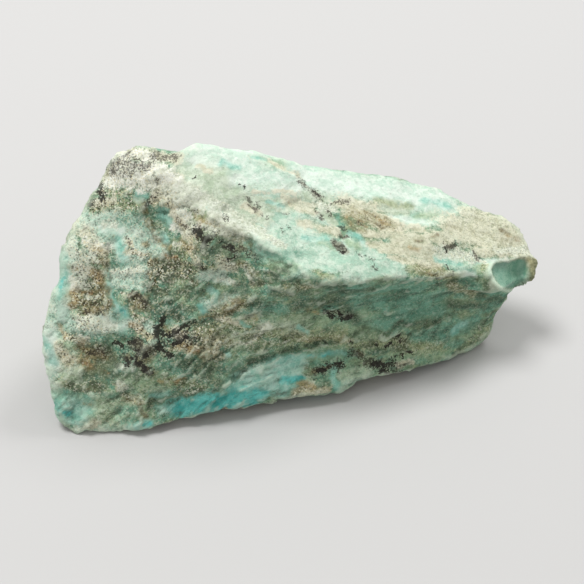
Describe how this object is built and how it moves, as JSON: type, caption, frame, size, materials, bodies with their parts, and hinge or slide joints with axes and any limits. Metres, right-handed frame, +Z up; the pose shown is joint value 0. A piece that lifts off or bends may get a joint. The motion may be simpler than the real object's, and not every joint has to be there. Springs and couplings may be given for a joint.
{
  "type": "raw mineral stone",
  "caption": "Rough wedge of raw blue-green copper mineral: sloping top, steep hollowed front, thin chipped tip, flat broken base to rest on.",
  "frame": {"origin": "middle of the bounding box, on the flat base that the stone rests on", "axes": "+X along the stone towards its thin tip, +Y from the steep hollowed front to the back, +Z up out of the base"},
  "size_m": [0.095, 0.045, 0.042],
  "materials": {
    "stone": "dry broken stone: dull, grainy, pale blue-green with tan and black specks"
  },
  "bodies": {
    "root": {"chrysocolla": "stone"}
  },
  "joints": []
}
